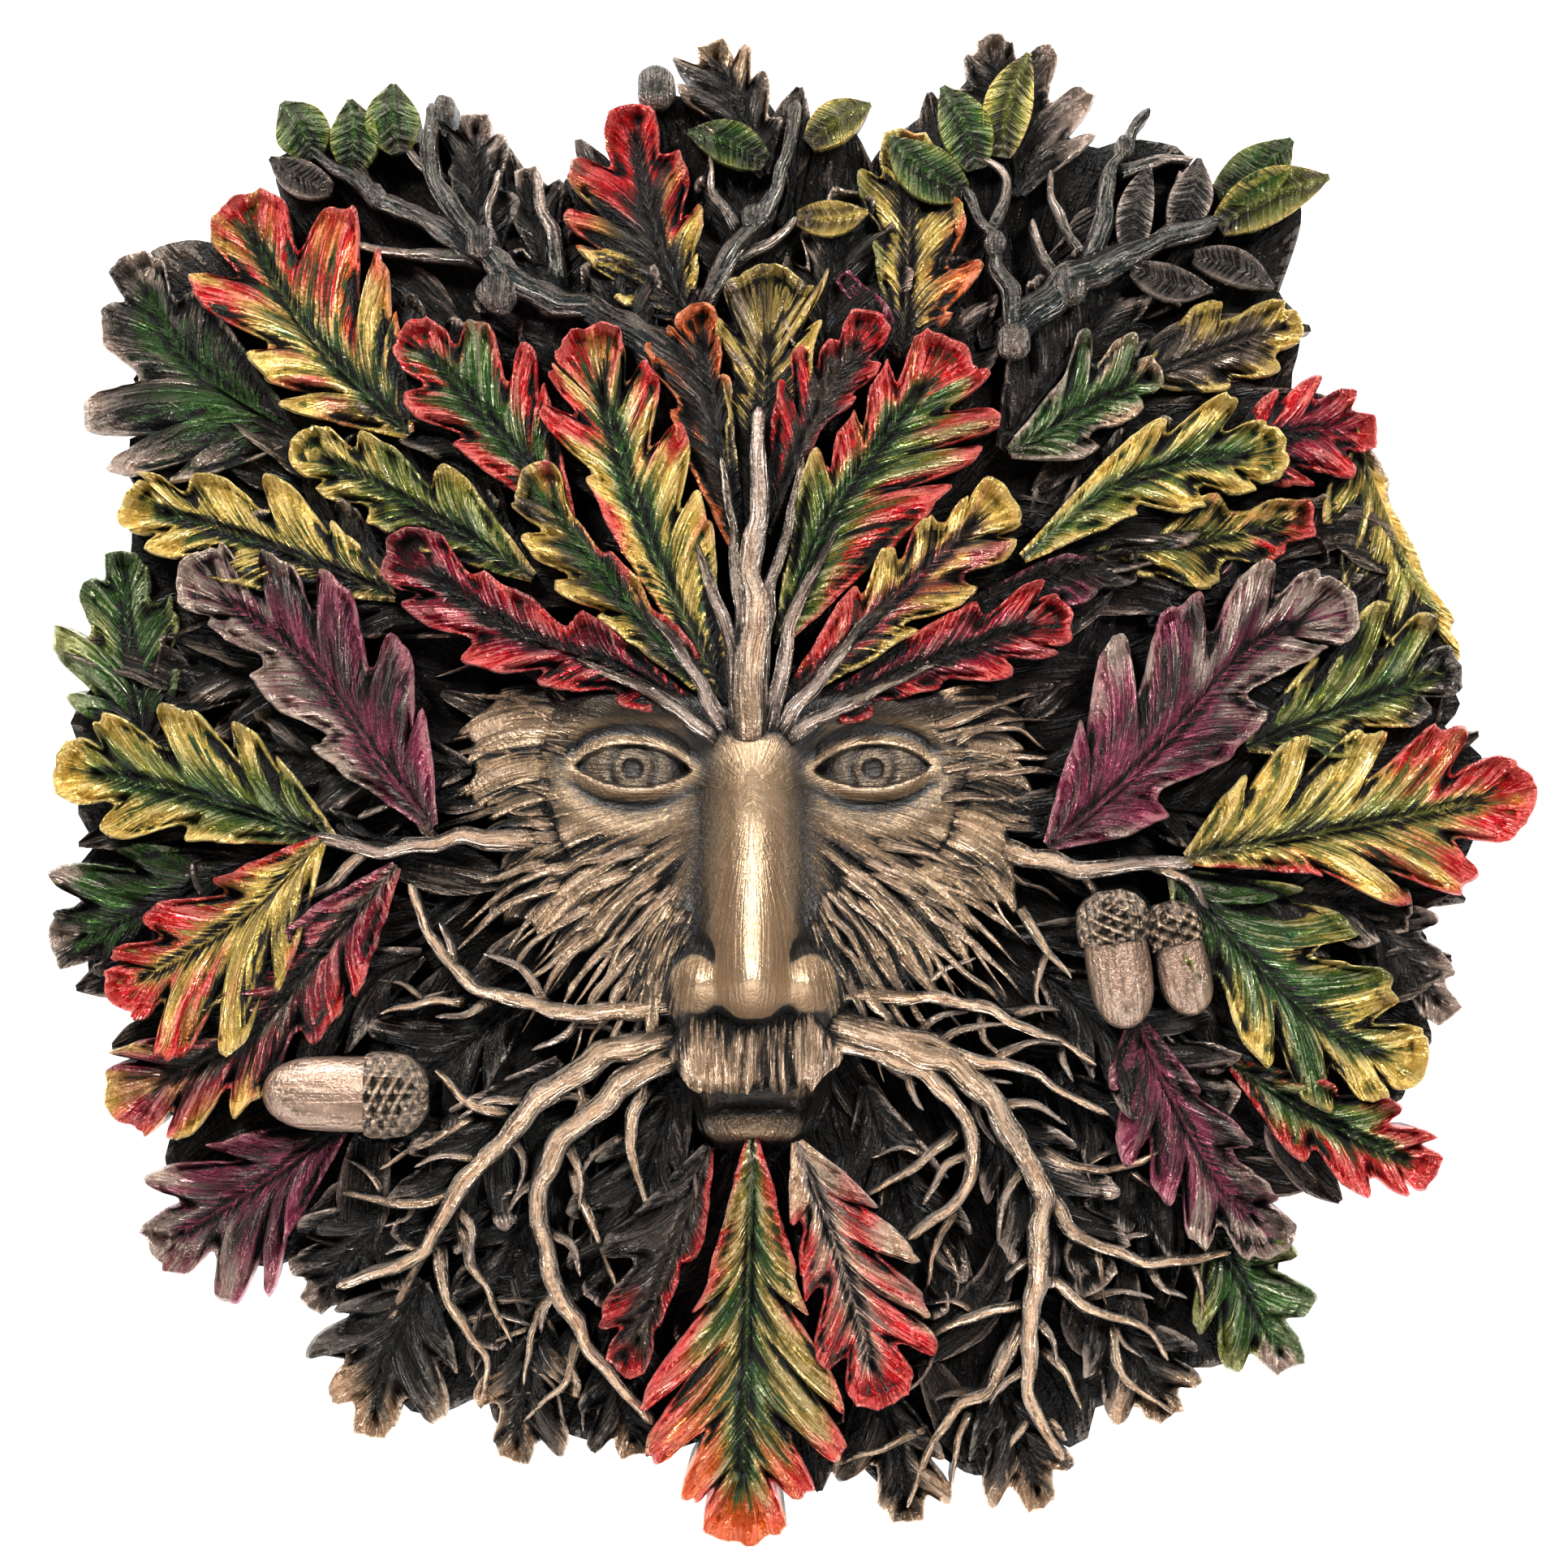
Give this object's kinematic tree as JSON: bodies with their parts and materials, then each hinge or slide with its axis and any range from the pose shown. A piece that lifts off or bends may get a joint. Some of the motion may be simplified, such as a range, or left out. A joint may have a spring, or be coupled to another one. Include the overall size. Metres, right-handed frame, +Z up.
{
  "type": "green man wall mask",
  "caption": "Cast relief wall mask: a calm face among painted oak leaves, twigs, roots and acorns, with a flat back that sits against a wall.",
  "frame": {"origin": "centre of the flat back, where the wall touches it", "axes": "+Z up the mask, +Y out of its back into the wall, +X to the right of someone looking at the face"},
  "size_m": [0.24, 0.044, 0.2437],
  "materials": {
    "painted_resin": "cast resin in dark bronze, black in the hollows, brushed with pale bronze on raised edges and washed with red, gold, green and purple on the leaves"
  },
  "bodies": {
    "root": {"green_man_mask": "painted_resin"}
  },
  "joints": []
}
